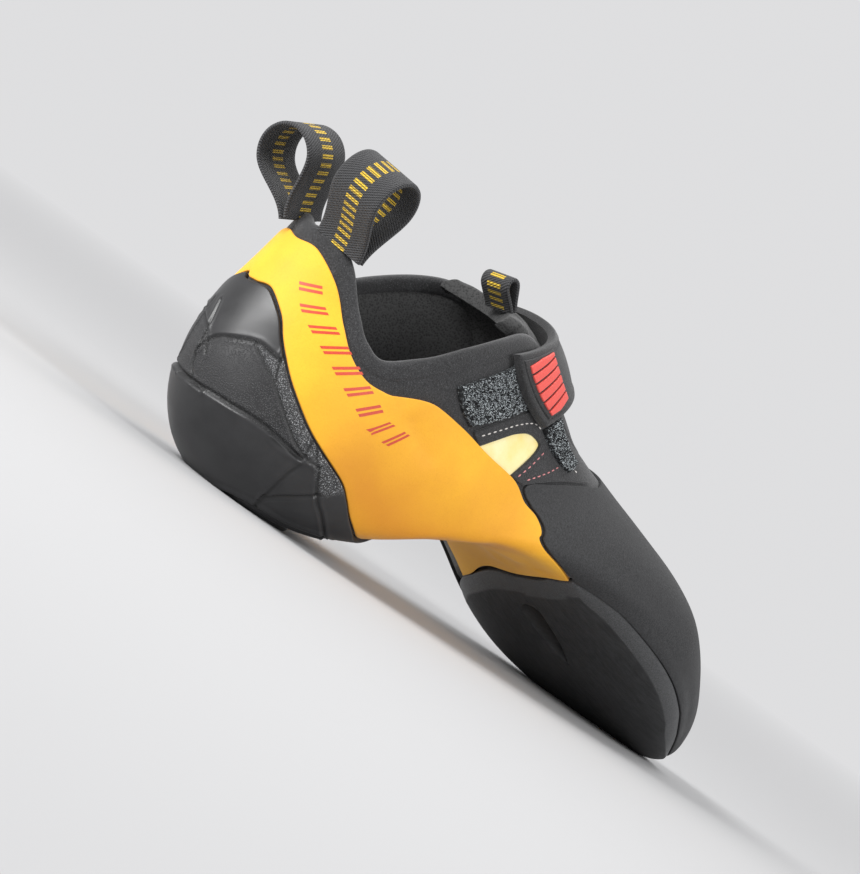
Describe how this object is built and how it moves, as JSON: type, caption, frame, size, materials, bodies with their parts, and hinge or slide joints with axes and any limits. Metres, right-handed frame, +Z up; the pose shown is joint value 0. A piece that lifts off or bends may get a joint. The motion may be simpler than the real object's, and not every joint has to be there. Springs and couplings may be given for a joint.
{
  "type": "climbing shoe",
  "caption": "Downturned slip-lasted climbing shoe, right foot, with a rubber heel cup, a front half-sole, an instep strap and pull loops.",
  "frame": {"origin": "middle of the round badge under the heel, on the floor plane that heel and toe stand on", "axes": "+Y from heel to toe, +X to the outer side of the foot, +Z up from the floor"},
  "size_m": [0.0796, 0.2535, 0.1039],
  "materials": {
    "microfibre": "black suede microfibre, matt",
    "band": "yellow suede leather, matt",
    "badge": "yellow moulded rubber, satin",
    "rubber": "black moulded rubber, satin",
    "sole_rubber": "dark grey climbing rubber, fine grain, satin",
    "pale_panel": "pale yellow microfibre, matt",
    "loop_pile": "black and white loop pile, fuzzy",
    "lining": "grey lining, matt",
    "webbing": "black woven webbing",
    "red_patch": "coral red moulded patch, satin"
  },
  "bodies": {
    "root": {"upper": "microfibre", "sling_band": "band", "heel_cup": "rubber", "heel_badge": "badge", "outsole": "sole_rubber", "front_rand": "rubber", "quarter": "microfibre", "window_panel": "pale_panel", "loop_field": "loop_pile", "loop_field_front": "loop_pile", "tongue": "microfibre", "insole": "lining", "collar_binding": "microfibre", "strap": "webbing", "strap_patch": "red_patch", "pull_loop_outer": "webbing", "pull_loop_inner": "webbing", "tongue_loop": "webbing"}
  },
  "joints": []
}
